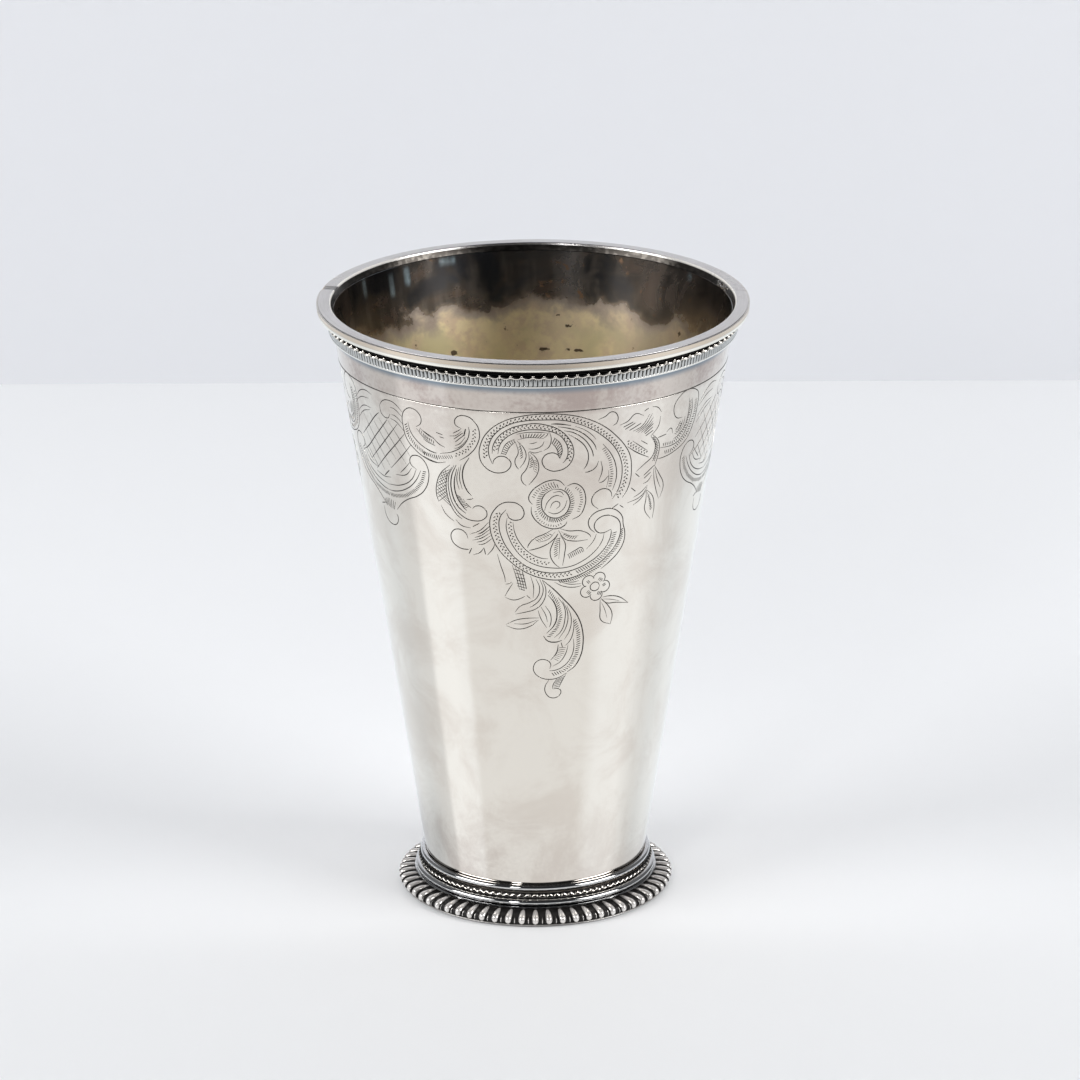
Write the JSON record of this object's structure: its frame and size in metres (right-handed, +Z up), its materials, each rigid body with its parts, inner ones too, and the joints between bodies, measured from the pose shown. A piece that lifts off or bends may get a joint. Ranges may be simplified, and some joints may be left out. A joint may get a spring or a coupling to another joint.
{
  "type": "silver beaker",
  "caption": "Tall tapered silver beaker with a heavy applied lip, beaded and reeded borders, engraved scrollwork and a gadrooned foot.",
  "frame": {"origin": "middle of the foot, on the surface that the beaker stands on", "axes": "+Z up along the beaker's axis; -Y is the side with the middle of one engraved rose motif about 5 degrees to its right"},
  "size_m": [0.0906, 0.0906, 0.13],
  "materials": {
    "body_silver": "polished silver with a light warm tarnish, engraved",
    "base_silver": "dull silver with a yellowish stain",
    "lip_silver": "polished silver",
    "border_silver": "silver with dark oxide in the hollows",
    "moulding_silver": "polished silver",
    "gadroon_silver": "silver with dark oxide between the lobes",
    "inner_silver": "unpolished silver"
  },
  "bodies": {
    "root": {"body_wall": "body_silver", "base_disc": "base_silver", "lip_ring": "lip_silver", "bead_wire": "border_silver", "reeded_strip": "border_silver", "collar_wire": "moulding_silver", "milled_wire": "border_silver", "torus_wire": "moulding_silver", "gadroon_border": "gadroon_silver", "foot_socket": "inner_silver", "foot_plate": "inner_silver"}
  },
  "joints": []
}
